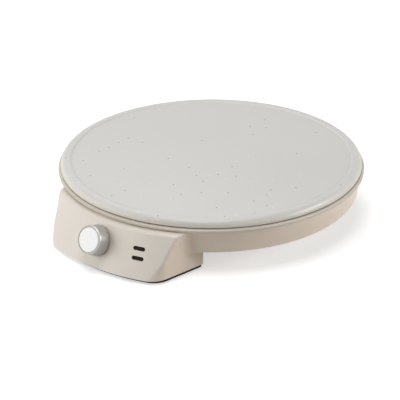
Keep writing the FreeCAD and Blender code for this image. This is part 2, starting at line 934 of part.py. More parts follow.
def make_base_cover():
    rim_top = shell_foot + cover_rim_height
    plate = Part.Face(pedestal_outline(shell_foot, cover_inset, cover_front_inset))
    plate.translate(down * cover_thickness)
    plate = plate.extrude(Vector(0, 0, cover_thickness))
    outer = cover_rim_inset
    front_outer = cover_rim_front_inset
    inner = outer + cover_rim_width
    front_inner = front_outer + cover_rim_width
    rim = Part.makeLoft([pedestal_outline(shell_foot, outer, front_outer),
                         pedestal_outline(rim_top, outer, front_outer)], True, True)
    hollow = Part.makeLoft([pedestal_outline(shell_foot, inner, front_inner),
                            pedestal_outline(rim_top, inner, front_inner)], True, True)
    cover = fuse(plate, [rim.cut(hollow)])
    tools = []
    for x, forward in pillar_places:
        for side in (-1, 1):
            spot = place(side * x, forward, cover_low)
            tools.append(cylinder(small_screw_radius + screw_clearance, cover_thickness + 1, spot))
            tools.append(cylinder(small_head_radius + screw_clearance, cover_thickness / 2, spot))
    for side in (-1, 1):
        x, forward = front_foot_place
        tools.append(foot_socket(place(side * x, forward, cover_low), cover_thickness + 1))
        tools.append(cylinder(small_screw_radius + thread_clearance, cover_thickness / 2,
                              block_screw_spot(side, shell_foot - cover_thickness / 2)))
    return cover.cut(tools)


def make_base_screws():
    screws = []
    for x, forward in pillar_places:
        for side in (-1, 1):
            seat = place(side * x, forward, cover_low + cover_thickness / 2)
            screws.append(screw(seat, Vector(0, 0, 1), base_screw_length,
                                height=cover_thickness / 2 - seat_clearance))
    return Part.makeCompound(screws)


def rubber_foot(spot, grip):
    # A round pad with a stem and a bulb that snaps through its hole
    low = Vector(spot.x, spot.y, 0)
    pad = cylinder(foot_radius, foot_height + foot_recess, low)
    pad = pad.makeFillet(foot_edge_radius, [edge for edge in pad.Edges if edge.BoundBox.ZMax < 0.01])
    stem_top = foot_height + foot_recess + grip
    stem = cylinder(foot_stem_radius, stem_top, low)
    bulb = cylinder(foot_bulb_radius, foot_bulb_length,
                    Vector(low.x, low.y, stem_top + seat_clearance))
    neck = cylinder(foot_stem_radius, foot_bulb_length, Vector(low.x, low.y, stem_top))
    return fuse(pad, [stem, neck, bulb])


def make_front_feet():
    x, forward = front_foot_place
    grip = cover_thickness - foot_recess
    return Part.makeCompound([rubber_foot(place(side * x, forward, 0), grip) for side in (-1, 1)])


def make_rear_feet():
    return Part.makeCompound([rubber_foot(rear_foot_spot(side * leg_angle, 0), shell_wall)
                              for side in (-1, 1)])


def make_control_knob():
    top = knob_gap + knob_length
    base_inner = knob_base_radius - knob_skirt_wall
    hollow_top = knob_gap + knob_hollow_depth
    profile = [(0, knob_gap + knob_hub_gap), (knob_hub_radius, knob_gap + knob_hub_gap),
               (knob_hub_radius, hollow_top), (base_inner, hollow_top), (base_inner, knob_gap),
               (knob_base_radius, knob_gap), (knob_front_radius, top), (cap_radius, top),
               (cap_radius, top - cap_depth), (0, top - cap_depth)]
    radii = [0, 0, 0, 0.6, 0.3, 0.5, knob_edge_radius, 0, 0, 0]
    knob = local_revolved(profile, radii)
    bore_low = Vector(0, 0, knob_gap)
    bore = cylinder(spindle_radius + thread_clearance, knob_hub_gap + knob_bore_depth, bore_low)
    flat_x = spindle_radius - spindle_flat + spring_sheet + seat_clearance
    wide = knob_base_radius
    bore = bore.cut(Part.makeBox(wide, 2 * wide, 2 * knob_length,
                                 Vector(flat_x, -wide, -knob_length)))
    return knob.cut(bore)


def make_knob_cap():
    top = knob_gap + knob_length
    radius = cap_radius - seat_clearance
    profile = [(0, top - cap_depth), (radius, top - cap_depth), (radius, top - cap_drop),
               (0, top - cap_drop)]
    return local_revolved(profile, [0, 0, 0.5, 0])


def make_thermostat_spindle():
    low = -pad_depth - thermostat_bore_depth + plunger_gap
    spindle = cylinder(spindle_radius, spindle_length - low, Vector(0, 0, low))
    flat = Part.makeBox(10, 20, 20, Vector(spindle_radius - spindle_flat, -10, collar_top))
    return spindle.cut(flat)


def make_knob_spring():
    low = Vector(spindle_radius - spindle_flat, -spring_width / 2, knob_gap + knob_hub_gap)
    return Part.makeBox(spring_sheet, spring_width, knob_bore_depth - 2.0, low)


def make_thermostat_body():
    back = -pad_depth - thermostat_depth
    can = local_box(thermostat_half_width, -thermostat_half_height, thermostat_half_height,
                    back, -pad_depth)
    can = can.makeFillet(thermostat_corner_radius,
                         [edge for edge in can.Edges if edge.BoundBox.ZLength > 1])
    collar = cylinder(collar_radius, pad_depth + collar_top, Vector(0, 0, -pad_depth))
    tags = []
    for side in (-1, 1):
        corner = Vector(side * thermostat_tag_side - tag_width / 2,
                        -thermostat_tag_drop - tag_sheet / 2, back - tag_length)
        tags.append(Part.makeBox(tag_width, tag_sheet, tag_length + 1, corner))
    body = fuse(can, [collar] + tags)
    bore = cylinder(spindle_radius + running_clearance, 2 * pad_depth + thermostat_bore_depth,
                    Vector(0, 0, -pad_depth - thermostat_bore_depth))
    pin_bore = cylinder(plunger_radius + running_clearance, 2 * thermostat_depth,
                        Vector(0, 0, back - thermostat_depth))
    holes = [bore, pin_bore]
    for side in (-1, 1):
        holes.append(cylinder(small_screw_radius + thread_clearance, thermostat_depth / 2,
                              Vector(side * thermostat_screw_offset, 0,
                                     -pad_depth - thermostat_depth / 2)))
    return body.cut(holes)


def make_thermostat_plunger():
    top = -pad_depth - thermostat_bore_depth
    low = -pad_depth - thermostat_depth - plunger_tail
    return cylinder(plunger_radius, top - low, Vector(0, 0, low))


def make_thermostat_screws():
    seat = -thermostat_screw_seat()
    screws = []
    for side in (-1, 1):
        screws.append(screw(Vector(side * thermostat_screw_offset, 0, seat), down,
                            pad_depth + seat + thermostat_depth / 2 - screw_end_gap))
    return Part.makeCompound(screws)


def make_lens(side):
    centre = side * lamp_pitch / 2
    body = pill(window_length - 2 * window_clearance, window_height - 2 * window_clearance,
                -pad_depth, -lens_drop, centre)
    body = body.makeFillet(lens_edge_radius, [edge for edge in body.Edges
                                              if edge.BoundBox.ZMin > -lens_drop - 0.01])
    flange = pill(window_length + 2 * lens_flange, window_height + 2 * lens_flange,
                  -pad_depth - lens_flange_depth, -pad_depth, centre)
    return fuse(body, [flange])


def lamp_z():
    return -pad_depth - lamp_drop


def make_lamp(side):
    # A small glass lamp lying behind its window, domed at one end
    start = Vector(-lamp_length / 2 + lamp_radius, side * lamp_pitch / 2, lamp_z())
    glass = cylinder(lamp_radius, lamp_length - lamp_radius, start, Vector(1, 0, 0))
    dome = Part.makeSphere(lamp_radius, start)
    return fuse(glass, [dome])


def make_lamp_holder():
    back = -pad_depth - holder_depth
    tray = local_box(holder_half_width, -holder_half_height, holder_half_height, back, -pad_depth)
    inner = local_box(holder_half_width - holder_wall, -holder_half_height + holder_wall,
                      holder_half_height - holder_wall, back + holder_wall, 0)
    tray = tray.cut(inner)
    ears = local_box(holder_half_width + holder_ear, -small_head_radius - 1,
                     small_head_radius + 1, -pad_depth - holder_ear_depth, -pad_depth)
    pieces = [ears.cut(inner),
              local_box(holder_half_width, -holder_wall / 2, holder_wall / 2, back, -pad_depth)]
    for x in (-lamp_cradle_offset, lamp_cradle_offset):
        rib = local_box(holder_wall / 2, -holder_half_height, holder_half_height, back, lamp_z())
        rib.translate(Vector(x, 0, 0))
        pieces.append(rib)
    tray = fuse(tray, pieces)
    holes = []
    for side in (-1, 1):
        holes.append(cylinder(lamp_radius + running_clearance, 4 * lamp_length,
                              Vector(-2 * lamp_length, side * lamp_pitch / 2, lamp_z()),
                              Vector(1, 0, 0)).common(inner))
        holes.append(cylinder(small_screw_radius + screw_clearance, 2 * holder_depth,
                              Vector(side * holder_screw_offset, 0, back)))
    return tray.cut(holes)


def make_lamp_holder_screws():
    screws = []
    for side in (-1, 1):
        seat = Vector(side * holder_screw_offset, 0, -pad_depth - holder_ear_depth)
        screws.append(screw(seat, Vector(0, 0, 1),
                            holder_ear_depth + pad_depth - pad_start - 2 * screw_end_gap))
    return Part.makeCompound(screws)


def make_sensor_bulb():
    return cylinder(bulb_radius, bulb_length, place(-sensor_offset, sensor_front, sensor_z),
                    Vector(0, 1, 0))


def make_thermal_fuse():
    return cylinder(bulb_radius, fuse_length, place(sensor_offset, sensor_front, sensor_z),
                    Vector(0, 1, 0))


def route(points):
    return [place(x, forward, z) for x, forward, z in points]


def sensor_run(side, radius):
    # From the wiring window up past the reflector, under the element and up to the plate
    x = side * sensor_offset
    under = element_z - element_radius - radius - sensor_run_gap
    return [place(x, sensor_window_forward, floor_high + sensor_window_rise),
            place(x, sensor_rise_forward, post_top + sensor_rise),
            place(x, sensor_front_forward, under - sensor_dip),
            place(x, sensor_back_forward, under),
            place(x, sensor_front + sensor_lead, sensor_z),
            place(x, sensor_front + running_clearance, sensor_z)]


def make_capillary_tube():
    frame = face_frame(0.0, knob_height_on_face)
    side = -thermostat_half_width - running_clearance
    up, back = capillary_exit
    start = [frame.multVec(Vector(side, up, back)),
             frame.multVec(Vector(side - capillary_lead, up, back))]
    points = start + route(capillary_route) + sensor_run(-1, capillary_radius)
    return tube(points, capillary_radius, wire_bend)


def thermostat_tag_end(side, beyond):
    frame = face_frame(0.0, knob_height_on_face)
    back = -pad_depth - thermostat_depth - tag_length
    return frame.multVec(Vector(side * thermostat_tag_side, -thermostat_tag_drop, back - beyond))


def make_switched_wire():
    start = [thermostat_tag_end(1, running_clearance), thermostat_tag_end(1, tag_lead)]
    points = start + route(switched_route) + sensor_run(1, wire_radius)
    return tube(points, wire_radius, wire_bend)


def make_fuse_wire():
    rear = sensor_front - fuse_length - running_clearance
    tag = element_end_path(1)[2] - Vector(0, 0, tag_length + running_clearance)
    forward = plate_y - tag.y
    first = [place(sensor_offset, rear, sensor_z), place(sensor_offset, rear - sensor_lead, sensor_z)]
    last = [place(tag.x, forward + tag_approach, under_reflector),
            place(tag.x, forward, under_reflector), tag]
    return tube(first + route(fuse_route) + last, wire_radius, wire_bend)


def pole_spot(pole, z):
    x, forward = block_place
    return place(x + pole * block_pitch, forward + block_length / 2 + running_clearance, z)


def make_live_wire():
    first = pole_spot(-1, live_pole_height)
    end = [thermostat_tag_end(-1, tag_lead), thermostat_tag_end(-1, running_clearance)]
    points = [first, first + Vector(0, -tag_lead, 0)] + route(live_route) + end
    return tube(points, wire_radius, wire_bend)


def make_neutral_wire():
    first = pole_spot(1, neutral_pole_height)
    tag = element_end_path(-1)[2] - Vector(0, 0, tag_length + running_clearance)
    ahead = first + Vector(0, -tag_lead, 0)
    points = [first, ahead, Vector(tag.x, ahead.y, ahead.z),
              place(tag.x, neutral_forward, neutral_pole_height),
              place(tag.x, neutral_forward - neutral_dip, under_reflector),
              Vector(tag.x, tag.y, under_reflector), tag]
    return tube(points, wire_radius, wire_bend)


def earth_spot():
    # Where the earth tag is screwed to the reflector
    return place(*earth_place, post_top)


def make_earth_tag():
    spot = earth_spot()
    leaf = box(spot.x - earth_leaf_half_width, spot.x + earth_leaf_half_width,
               earth_leaf_back, earth_leaf_front, post_top - tag_sheet, post_top)
    barrel = cylinder(wire_radius + earth_barrel_wall, earth_barrel_length,
                      place(spot.x, barrel_end() - earth_barrel_length, barrel_z()),
                      Vector(0, -1, 0))
    hole = cylinder(small_screw_radius + screw_clearance, 4 * tag_sheet,
                    spot + down * 2 * tag_sheet)
    return fuse(leaf, [barrel]).cut(hole)


def barrel_z():
    return post_top - wire_radius - earth_barrel_wall


def barrel_end():
    return earth_leaf_front + earth_lead


def make_earth_screw():
    seat = earth_spot() + down * tag_sheet
    return screw(seat, Vector(0, 0, 1), tag_sheet + reflector_sheet + earth_screw_engagement)


def make_earth_wire():
    x, forward = block_place
    top = shell_foot + block_height + running_clearance
    points = [place(x, forward, top), place(x, forward, post_top - earth_wire_rise),
              place(x - earth_wire_side, forward - earth_wire_back, barrel_z()),
              place(earth_place[0], earth_wire_turn, barrel_z()),
              place(earth_place[0], barrel_end() + running_clearance, barrel_z())]
    return tube(points, wire_radius, 1.2 * wire_bend)


def block_screw_spot(side, z):
    x, forward = block_place
    return place(x + side * block_pitch / 2, forward, z)


def make_terminal_block():
    x, forward = block_place
    low = shell_foot
    high = low + block_height
    block = box(x - block_width / 2, x + block_width / 2, forward - block_length / 2,
                forward + block_length / 2, low, high - block_step)
    poles = []
    for pole in (-1, 0, 1):
        middle = x + pole * block_pitch
        poles.append(box(middle - pole_half_width, middle + pole_half_width,
                         forward - block_length / 2, forward + block_length / 2,
                         low + block_floor, high))
    block = fuse(block, poles)
    tools = []
    for side in (-1, 1):
        spot = block_screw_spot(side, low)
        seat = block_screw_spot(side, low + block_screw_seat)
        tools.append(cylinder(small_screw_radius + screw_clearance, 2 * block_height, spot))
        tools.append(cylinder(small_head_radius + screw_clearance, block_height, seat))
    for pole in (-1, 1):
        spot = place(x + pole * block_pitch, forward, high - pole_bore_depth)
        tools.append(cylinder(pole_bore_radius, 2 * pole_bore_depth, spot))
    return block.cut(tools)


def make_terminal_screws():
    length = block_screw_seat + cover_thickness / 2 - screw_end_gap
    screws = [screw(block_screw_spot(side, shell_foot + block_screw_seat), down, length)
              for side in (-1, 1)]
    return Part.makeCompound(screws)


def make_cord_bush():
    bush = cylinder(cord_bush_radius, shell_wall + 2 * cord_bush_flange,
                    cord_spot(-cord_bush_flange), Vector(0, -1, 0))
    outer = cylinder(cord_bush_flange_radius, cord_bush_flange, cord_spot(-cord_bush_flange),
                     Vector(0, -1, 0))
    inner = cylinder(cord_bush_flange_radius, cord_bush_flange, cord_spot(shell_wall),
                     Vector(0, -1, 0))
    bore = cylinder(cord_bore_radius, 4 * shell_wall, cord_spot(-2 * cord_bush_flange),
                    Vector(0, -1, 0))
    return fuse(bush, [outer, inner]).cut(bore)


def make_lamp_wires():
    frame = face_frame(lamp_angle, lamp_height_on_face)
    back = -pad_depth - holder_depth - running_clearance
    wires = []
    for pole in (0, 1):
        shift = pole * lamp_wire_spacing
        local_x = 4 * pole - 2
        points = [frame.multVec(Vector(local_x, -3, back)),
                  frame.multVec(Vector(local_x, -3, back - 6))]
        points.extend(place(x, forward - shift, z) for x, forward, z in lamp_route)
        wires.append(tube(points, lamp_wire_radius, wire_bend))
    return Part.makeCompound(wires)


def build_parts():
    knob_frame = face_frame(0.0, knob_height_on_face)
    lamp_frame = face_frame(lamp_angle, lamp_height_on_face)
    return {
        "dish_housing": make_dish_housing(),
        "crepe_plate": make_crepe_plate(),
        "base_cover": make_base_cover(),
        "base_screws": make_base_screws(),
        "front_feet": make_front_feet(),
        "rear_feet": make_rear_feet(),
        "heating_element": make_heating_element(),
        "element_beads": make_element_beads(),
        "element_tags": make_element_tags(),
        "element_straps": Part.makeCompound(placed_straps(0, 4)),
        "strap_screws": make_strap_screws(0, 8),
        "bulb_clip": placed_straps(4, 5)[0],
        "fuse_clip": placed_straps(5, 6)[0],
        "clip_screws": make_strap_screws(8, 12),
        "heat_reflector": make_heat_reflector(),
        "plate_spacers": make_plate_spacers(),
        "plate_screws": make_plate_screws(),
        "sensor_bulb": make_sensor_bulb(),
        "thermal_fuse": make_thermal_fuse(),
        "capillary_tube": make_capillary_tube(),
        "control_knob": put(make_control_knob(), knob_frame),
        "knob_cap": put(make_knob_cap(), knob_frame),
        "knob_spring": put(make_knob_spring(), knob_frame),
        "thermostat_spindle": put(make_thermostat_spindle(), knob_frame),
        "thermostat_body": put(make_thermostat_body(), knob_frame),
        "thermostat_plunger": put(make_thermostat_plunger(), knob_frame),
        "thermostat_screws": put(make_thermostat_screws(), knob_frame),
        "power_lens": put(make_lens(1), lamp_frame),
        "heat_lens": put(make_lens(-1), lamp_frame),
        "power_lamp": put(make_lamp(1), lamp_frame),
        "heat_lamp": put(make_lamp(-1), lamp_frame),
        "lamp_holder": put(make_lamp_holder(), lamp_frame),
        "lamp_holder_screws": put(make_lamp_holder_screws(), lamp_frame),
        "terminal_block": make_terminal_block(),
        "terminal_screws": make_terminal_screws(),
        "cord_bush": make_cord_bush(),
        "earth_tag": make_earth_tag(),
        "earth_screw": make_earth_screw(),
        "earth_wire": make_earth_wire(),
        "live_wire": make_live_wire(),
        "neutral_wire": make_neutral_wire(),
        "switched_wire": make_switched_wire(),
        "fuse_wire": make_fuse_wire(),
        "lamp_wires": make_lamp_wires(),
    }


os.makedirs("parts", exist_ok=True)
for name, shape in build_parts().items():
    size = shape.BoundBox
    shape.exportStep("parts/" + name + ".step")
    print(name, "solids", len(shape.Solids), "valid", shape.isValid(), "volume", round(shape.Volume, 1),
          "z", round(size.ZMin, 2), round(size.ZMax, 2))
knob_axis = face_frame(0.0, knob_height_on_face)
print("plate axis y", round(plate_y, 4))
print("knob axis point", knob_axis.Base, "outward", knob_axis.Rotation.multVec(Vector(0, 0, 1)))
print("cord bush point", cord_spot(-cord_bush_flange), "length", shell_wall + 2 * cord_bush_flange)
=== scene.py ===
# %% [markdown]
# Electric crepe maker: a low round cooker seen a little from above and from its right.
# The exact solids of the part are loaded first. They give every size and place below, so a
# piece is never fitted by eye. All lengths are metres, +Z is up and -Y is the front.

# %% Load the solids
import bpy
import json
import math
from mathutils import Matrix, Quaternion, Vector


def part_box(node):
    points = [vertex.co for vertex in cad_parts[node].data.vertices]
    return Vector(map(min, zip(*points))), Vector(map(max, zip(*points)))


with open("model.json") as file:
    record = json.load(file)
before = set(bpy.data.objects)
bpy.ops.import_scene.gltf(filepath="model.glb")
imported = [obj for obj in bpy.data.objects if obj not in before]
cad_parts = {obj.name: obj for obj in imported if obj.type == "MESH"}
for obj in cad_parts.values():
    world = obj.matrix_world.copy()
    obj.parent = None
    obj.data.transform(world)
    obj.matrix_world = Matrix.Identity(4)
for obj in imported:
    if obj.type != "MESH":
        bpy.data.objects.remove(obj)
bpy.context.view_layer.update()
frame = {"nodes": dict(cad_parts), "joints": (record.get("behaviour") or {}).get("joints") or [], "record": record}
nodes = frame["nodes"]
record = frame["record"]

# %% [markdown]
# The plate is round, so its middle is the middle of its own box, and it is the best place to
# aim the camera at. The dish's rim lies a little under the plate, and the aim is at that height.

# %% The plate's axis and the point to aim at
plate_low, plate_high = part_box("crepe_plate")
plate_middle = (plate_low + plate_high) / 2
aim_height = 0.054
aim = Vector((plate_middle.x, plate_middle.y, aim_height))
print("plate middle", [round(v, 4) for v in plate_middle])

# %% [markdown]
# A long lens from far away keeps the ellipses of plate and dish calm, as in a catalogue
# picture. The camera stands 39.5 degrees round to the object's right and looks down by 24.4
# degrees. It is then turned a little, not shifted, so that the aim falls where it should.

# %% Camera
picture_size = 400
lens_mm = 135.0
sensor_mm = 36.0
camera_distance = 1.625
camera_azimuth = 39.5
camera_elevation = 24.4
camera_roll = 0.18
aim_pixel = (211.15, 160.9)


def outward(azimuth, elevation):
    """The direction from the object to a place round it, from two angles in degrees."""
    around = math.radians(azimuth)
    above = math.radians(elevation)
    return Vector((math.sin(around) * math.cos(above), -math.cos(around) * math.cos(above),
                   math.sin(above)))


toward_camera = outward(camera_azimuth, camera_elevation)
pixels_deep = picture_size * lens_mm / sensor_mm
ray = Vector((aim_pixel[0] - picture_size / 2, picture_size / 2 - aim_pixel[1], -pixels_deep))
turn = Vector((0, 0, -1)).rotation_difference(ray.normalized())
look = (-toward_camera).to_track_quat("-Z", "Y")
roll = Quaternion((0, 0, 1), -math.radians(camera_roll))

camera = bpy.data.objects.new("camera", bpy.data.cameras.new("camera"))
bpy.context.scene.collection.objects.link(camera)
camera.data.lens = lens_mm
camera.data.sensor_width = sensor_mm
camera.data.clip_start = 0.05
camera.data.clip_end = 50.0
camera.location = aim + toward_camera * camera_distance
camera.rotation_mode = "QUATERNION"
camera.rotation_quaternion = look @ roll @ turn.inverted()
bpy.context.scene.camera = camera
bpy.context.scene.view_settings.view_transform = "Standard"
print("camera at", [round(v, 3) for v in camera.location])

# %% [markdown]
# A finish is a small graph of nodes. Written one node at a time it is long and hard to read,
# so one class wraps a socket and lets Python's own signs add the Math nodes.

# %% Numbers that change over a surface
class Value:
    """What one socket gives; + - * < add Math nodes."""

    def __init__(self, paint, socket):
        self.paint = paint
        self.socket = socket

    def maths(self, operation, first, second):
        return self.paint.node("ShaderNodeMath", {"operation": operation}, {0: first, 1: second})

    def __add__(self, other):
        return self.maths("ADD", self, other)

    def __sub__(self, other):
        return self.maths("SUBTRACT", self, other)

    def __rsub__(self, other):
        return self.maths("SUBTRACT", other, self)

    def __mul__(self, other):
        return self.maths("MULTIPLY", self, other)

    def __lt__(self, other):
        return self.maths("LESS_THAN", self, other)

    __radd__ = __add__


def wander(level, pattern, amount):
    """A level that rises and falls with a pattern, by half the amount each way."""
    return level + (pattern - 0.5) * amount


print("shader maths ready")

# %% [markdown]
# A second class holds a material and adds any other node from its type, its settings and its
# inputs. Its shorter methods are the few patterns and masks that all finishes share.

# %% Materials and their nodes
class Paint:
    """A new material, or the world that is given, with the nodes in it."""

    def __init__(self, name, world=None):
        self.owner = world or bpy.data.materials.new(name)
        self.owner.use_nodes = True
        self.tree = self.owner.node_tree
        self.tree.nodes.clear()

    def node(self, kind, settings=None, inputs=None, output=0):
        made = self.tree.nodes.new(kind)
        for key, value in (settings or {}).items():
            setattr(made, key, value)
        for key, value in (inputs or {}).items():
            if isinstance(value, Value):
                self.tree.links.new(value.socket, made.inputs[key])
            else:
                made.inputs[key].default_value = value
        return Value(self, made.outputs[output])

    def vector(self, operation, first, second, output="Vector"):
        return self.node("ShaderNodeVectorMath", {"operation": operation},
                         {0: first, 1: second}, output)

    def place(self):
        return self.node("ShaderNodeTexCoord", output="Object")

    def part_of(self, vector, axis):
        return self.node("ShaderNodeSeparateXYZ", None, {0: vector}, output=axis)

    def upward(self):
        """1 where the surface looks straight up, 0 where it stands upright."""
        return self.part_of(self.node("ShaderNodeNewGeometry", output="Normal"), "Z")

    def along(self, point, direction):
        """Distance from a point, measured along a direction."""
        offset = self.vector("SUBTRACT", self.place(), point)
        return self.vector("DOT_PRODUCT", offset, direction, output="Value")

    def away_from(self, point, direction):
        """Distance from a line through a point."""
        offset = self.vector("SUBTRACT", self.place(), point)
        across = self.vector("CROSS_PRODUCT", offset, direction)
        return self.node("ShaderNodeVectorMath", {"operation": "LENGTH"}, {0: across},
                         output="Value")

    def noise(self, scale, detail=2.0, where=None):
        return self.node("ShaderNodeTexNoise", None,
                         {"Vector": where or self.place(), "Scale": scale, "Detail": detail})

    def rings(self, distance, scale):
        """Fine marks that change with one distance only."""
        return self.node("ShaderNodeTexNoise", {"noise_dimensions": "1D"},
                         {"W": distance, "Scale": scale, "Detail": 2.0})

    def step(self, value, low, high):
        """0 below the low mark, 1 above the high one, and smooth between them."""
        return self.node("ShaderNodeMapRange", {"interpolation_type": "SMOOTHSTEP"},
                         {"Value": value, "From Min": low, "From Max": high})

    def patches(self, scale, low=0.3, high=0.7, detail=2.0):
        """A noise pressed into soft patches of 0 and 1."""
        return self.step(self.noise(scale, detail), low, high)

    def blend(self, mask, first, second, how="MIX"):
        """Mixes colours: sockets 0, 6 and 7 are the mask and both colours, and 2 gives the mix."""
        return self.node("ShaderNodeMix", {"data_type": "RGBA", "blend_type": how},
                         {0: mask, 6: first, 7: second}, output=2)

    def bump(self, height, depth, strength):
        return self.node("ShaderNodeBump", None,
                         {"Height": height, "Distance": depth, "Strength": strength})

    def surface(self, **inputs):
        plain = {key.replace("_", " "): value for key, value in inputs.items()}
        return self.finish(self.node("ShaderNodeBsdfPrincipled", None, plain))

    def finish(self, shader, kind="ShaderNodeOutputMaterial"):
        out = self.tree.nodes.new(kind)
        self.tree.links.new(shader.socket, out.inputs["Surface"])
        return self.owner


def rgb(red, green, blue):
    return (red, green, blue, 1.0)


def shade(colour, amount):
    return tuple(min(1.0, c * amount) for c in colour[:3]) + (1.0,)


print("material helpers ready")

# %% [markdown]
# New moulded plastic looks plain but is not flat: its colour drifts by a few percent in wide
# clouds, and its skin has a very fine grain that softens the highlights. Both come from noise
# in the object's own space.

# %% Moulded plastic
plastic_ior = 1.49
cloud_scale = 9.0
cloud_tone = rgb(0.96, 0.96, 0.96)
gloss_scale = 55.0
gloss_spread = 0.10


def moulded(name, colour, roughness, grain=2600.0, depth=0.00003, shine=0.5, tones=None):
    paint = Paint(name)
    main = tones(paint, colour) if tones else colour
    clouded = paint.blend(1.0, main, cloud_tone, "MULTIPLY")
    return paint.surface(Base_Color=paint.blend(paint.patches(cloud_scale), clouded, main),
                         Roughness=wander(roughness, paint.noise(gloss_scale), gloss_spread),
                         IOR=plastic_ior, Specular_IOR_Level=shine,
                         Normal=paint.bump(paint.noise(grain), depth, strength=0.5))


print("plastic finish ready")

# %% [markdown]
# The housing is one glossy-satin moulding in a warm beige. On the walls that stand upright
# under the flange, a deeper, warmer beige is painted in as shade. It takes over where the
# surface doesn't look upward. The narrow flange under the plate's edge gets a darker, greyer
# beige of its own, by height, as painted shadow from the plate's edge.

# %% Housing beige and its painted shade
beige = rgb(0.70, 0.642, 0.574)
# Painted shade: a warmer, deeper beige for the upright walls under the flange.
painted_wall_shade = rgb(0.71, 0.598, 0.490)
# Painted shadow: a darker, greyer beige for the flange under the plate's edge.
painted_flange_shade = rgb(0.56, 0.505, 0.430)
flange_bottom = 0.0490
flange_blend = 0.0006
wall_lean = 0.02
face_lean = 0.38


def housing_with_painted_shade(paint, colour):
    height = paint.part_of(paint.place(), "Z")
    flange = paint.step(height, flange_bottom, flange_bottom + flange_blend)
    leaning = paint.step(paint.upward(), wall_lean, face_lean)
    # Blends in the painted shade on upright walls, then the painted shadow on the flange.
    return paint.blend(flange, paint.blend(leaning, painted_wall_shade, colour), painted_flange_shade)


print("housing tones ready")

# %% [markdown]
# The cooking plate is cast metal under a pale, warm grey non-stick coat. The coat has sparse
# dark and light specks, a millimetre or two wide. A Voronoi pattern scatters one point in each
# cell; what lies within a speck's radius of the point is a speck, if the cell's own random
# colour picks that cell. The cells are flat, so each speck lies in the plate's surface, and the
# specks stop where the edge turns down. Most of them lie on the front half.

# %% Specks
back_loss = 0.8
front_half_ends = -0.06
back_half_starts = 0.03
speck_core = 0.45
pattern_slant = 0.7
edge_turned = 0.6
edge_level = 0.85


def specks(paint, cell, radius, share, shift):
    where = paint.vector("ADD", paint.place(), (shift, shift * pattern_slant, 0.0))
    settings = {"feature": "F1", "voronoi_dimensions": "2D"}
    inputs = {"Vector": where, "Scale": 1.0 / cell}
    distance = paint.node("ShaderNodeTexVoronoi", settings, inputs, output="Distance")
    colour = paint.node("ShaderNodeTexVoronoi", settings, inputs, output="Color")
    draw = paint.node("ShaderNodeSeparateColor", None, {0: colour})
    depth = paint.part_of(paint.place(), "Y")
    back = paint.step(depth, plate_middle.y + front_half_ends, plate_middle.y + back_half_starts)
    chosen = draw < (1 - back * back_loss) * share
    level = paint.step(paint.upward(), edge_turned, edge_level)
    blank = paint.step(distance, speck_core * radius / cell, radius / cell)
    return (1 - blank) * chosen * level


print("specks ready")

# %% [markdown]
# Three kinds of speck are laid over the coat: the faint fine ones first, then the light ones,
# and the strong dark ones last. On the plate's rounded edge, which looks down and away, a
# warmer grey is painted in as shade.

# %% Speckled plate coat
coat_grey = rgb(0.612, 0.599, 0.572)
# Painted shade: the warmer grey for the plate's rounded edge.
shaded_edge_grey = rgb(0.640, 0.607, 0.540)
coat_clouds = 7.0
coat_cloud_tone = 0.975
coat_roughness = 0.40
rounded_edge = 0.3
flat_top = 0.95
speck_kinds = (
    dict(cell=0.005, radius=0.0005, share=0.25, shift=2.1, strength=0.08, tone=0.6),
    dict(cell=0.019, radius=0.0012, share=0.30, shift=1.3, strength=0.6, tone=1.35),
    dict(cell=0.017, radius=0.0012, share=0.30, shift=0.0, strength=0.9, tone=0.3),
)


def speckled_coat(name, colour, edge_colour):
    paint = Paint(name)
    coat = paint.blend(paint.patches(coat_clouds), shade(colour, coat_cloud_tone), colour)
    # Painted shade: the rounded edge takes the warmer grey where the coat doesn't look up.
    coat = paint.blend(paint.step(paint.upward(), rounded_edge, flat_top), edge_colour, coat)
    for kind in speck_kinds:
        mask = specks(paint, kind["cell"], kind["radius"], kind["share"], kind["shift"])
        coat = paint.blend(mask * kind["strength"], coat, shade(colour, kind["tone"]))
    skin = paint.noise(scale=700.0)
    return paint.surface(Base_Color=coat,
                         Roughness=wander(coat_roughness, paint.noise(scale=40.0), amount=0.1),
                         Normal=paint.bump(skin, depth=0.00004, strength=0.5),
                         Coat_Weight=0.15, Coat_Roughness=0.25)


print("plate coat ready, kinds of speck:", len(speck_kinds))

# %% [markdown]
# Metals show what is round them, so their colour matters less than how sharp the reflection
# is. Turned and drawn pieces have fine marks that run one way; stretching a noise along one
# axis gives them.

# %% Metals
patina_scale = 30.0
patina_tone = 0.93
mark_spread = 0.12
mark_depth = 0.00002


def metal(name, colour, roughness, marks=600.0, stretch=(1.0, 1.0, 12.0)):
    paint = Paint(name)
    stretched = paint.vector("MULTIPLY", paint.place(), stretch)
    fine = paint.noise(marks, detail=3.0, where=stretched)
    patina = paint.patches(patina_scale, low=0.35, high=0.7)
    return paint.surface(Base_Color=paint.blend(patina, shade(colour, patina_tone), colour),
                         Metallic=1.0, Roughness=wander(roughness, fine, mark_spread),
                         Normal=paint.bump(fine, mark_depth, strength=0.4))


print("metal finish ready")

# %% [markdown]
# The knob's side is brushed metal in a darker grey, and its rounded front edge is a bright
# satin white. The knob turns about one line, so the distance along that line tells the edge
# from the side. The pale disc in its front has fine rings about the same line, and a thin
# line of painted shade darkens its rim, where it meets the knob's edge.

# %% Knob
turning = next(joint for joint in frame["joints"] if joint["child"] == "knob")
knob_point = tuple(turning["pos_m"])
knob_outward = tuple(turning["axis"])
knob_metallic = 0.75
side_roughness = 0.40
edge_smoother = 0.12
side_rings = 3500.0
disc_rings = 2500.0
disc_roughness = 0.26


